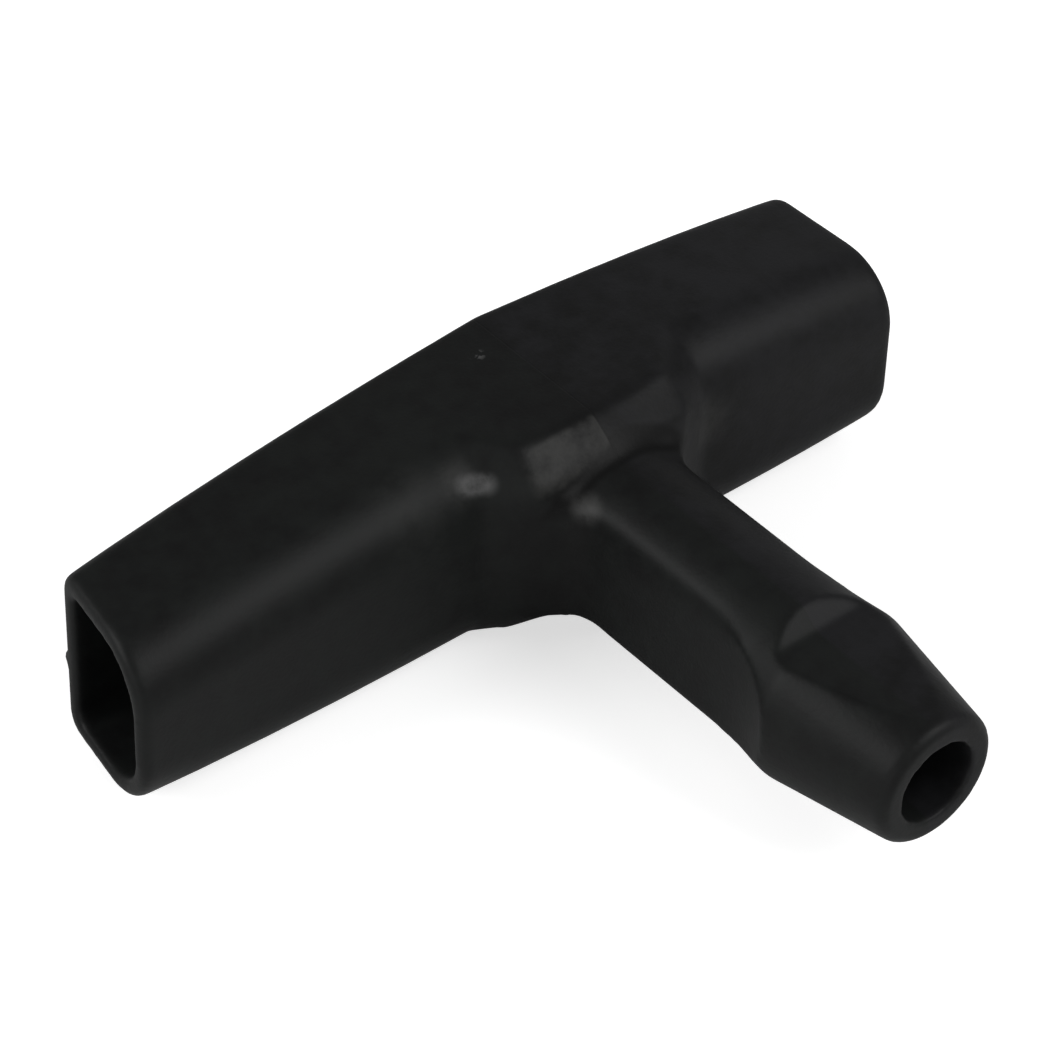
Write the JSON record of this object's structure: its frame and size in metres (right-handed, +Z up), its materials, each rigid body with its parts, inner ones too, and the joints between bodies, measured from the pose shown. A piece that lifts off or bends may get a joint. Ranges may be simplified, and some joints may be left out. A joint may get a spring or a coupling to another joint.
{
  "type": "recoil starter handle",
  "caption": "Hollow T-shaped recoil starter handle with unequal arms, a flat-sided stem and a bored nozzle for the starter rope.",
  "frame": {"origin": "centre of the rope bore's mouth, in the end face of the nozzle", "axes": "+Y up the stem from the nozzle to the bar, +X along the bar towards its short arm, +Z up with the T lying flat"},
  "size_m": [0.0823, 0.0595, 0.0216],
  "materials": {
    "starter_handle": "fine moulded texture with a satin sheen"
  },
  "bodies": {
    "root": {"starter_handle": "starter_handle"}
  },
  "joints": []
}
